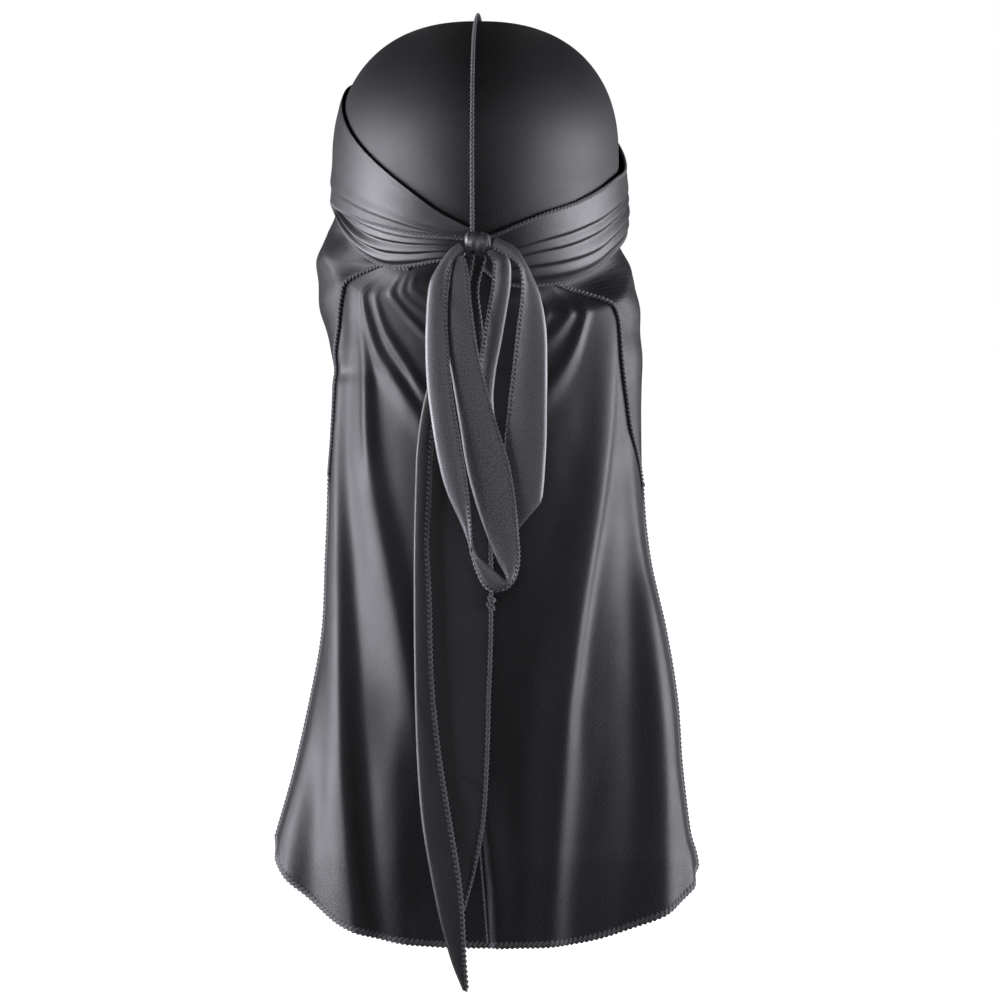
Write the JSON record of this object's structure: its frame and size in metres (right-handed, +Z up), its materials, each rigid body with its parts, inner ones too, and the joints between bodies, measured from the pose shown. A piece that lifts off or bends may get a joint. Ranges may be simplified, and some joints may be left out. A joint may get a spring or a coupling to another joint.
{
  "type": "durag",
  "caption": "Close satin cap with tie straps wrapped round the head and bowed at the nape, and a long cape hanging from its back edge.",
  "frame": {"origin": "top of the cap's inner face, in the middle of the head, where the cap sits on a head", "axes": "+Z up, +Y the way the wearer faces, +X towards the wearer's right; the cape hangs down along -Z behind the head"},
  "size_m": [0.2573, 0.2167, 0.5682],
  "materials": {
    "crown_satin": "smooth black satin with a soft broad sheen",
    "overlock_thread": "matt twisted black overlock thread",
    "strap_satin": "black satin, pleated and folded, with bright ridges",
    "cape_satin": "thin black satin hanging in soft vertical folds"
  },
  "bodies": {
    "root": {"crown_left": "crown_satin", "crown_right": "crown_satin", "centre_seam": "overlock_thread", "wrap_left_upper": "strap_satin", "wrap_left_lower": "strap_satin", "wrap_right": "strap_satin", "knot": "strap_satin", "bow_loop_left": "strap_satin", "bow_loop_right": "strap_satin", "tail_long": "strap_satin", "tail_short": "strap_satin", "cape": "cape_satin"}
  },
  "joints": []
}
